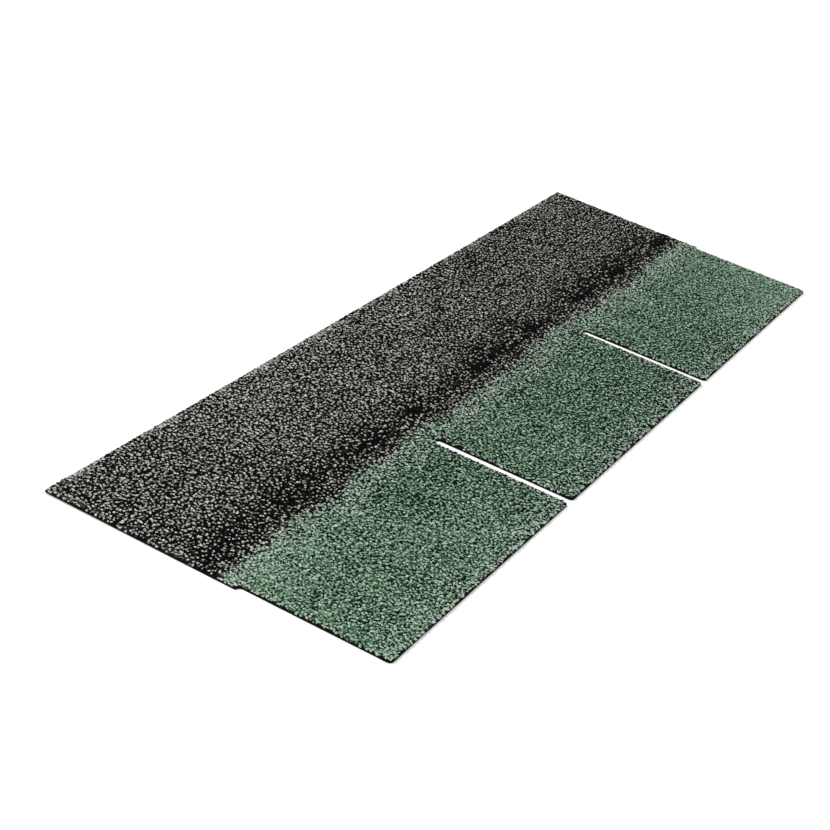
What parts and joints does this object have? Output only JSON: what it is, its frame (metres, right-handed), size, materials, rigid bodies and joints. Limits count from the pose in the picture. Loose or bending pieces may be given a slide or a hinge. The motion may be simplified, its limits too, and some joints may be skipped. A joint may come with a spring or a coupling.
{
  "type": "asphalt shingle",
  "caption": "Flat tabbed asphalt roofing strip: cut-outs between green-granule tabs, a dark-granule headlap and a dashed self-seal line, laid in overlapping courses.",
  "frame": {"origin": "middle of the strip's underside", "axes": "+X along the strip, +Y up the roof slope from the tabs to the back edge, +Z out of the granule face"},
  "size_m": [1, 0.336, 0.0036],
  "materials": {
    "green_granules": "matte",
    "dark_granules": "matte",
    "bitumen": "matte",
    "sealant": "satin"
  },
  "bodies": {
    "root": {"shingle": "green_granules", "sealant_strip": "sealant"}
  },
  "joints": []
}
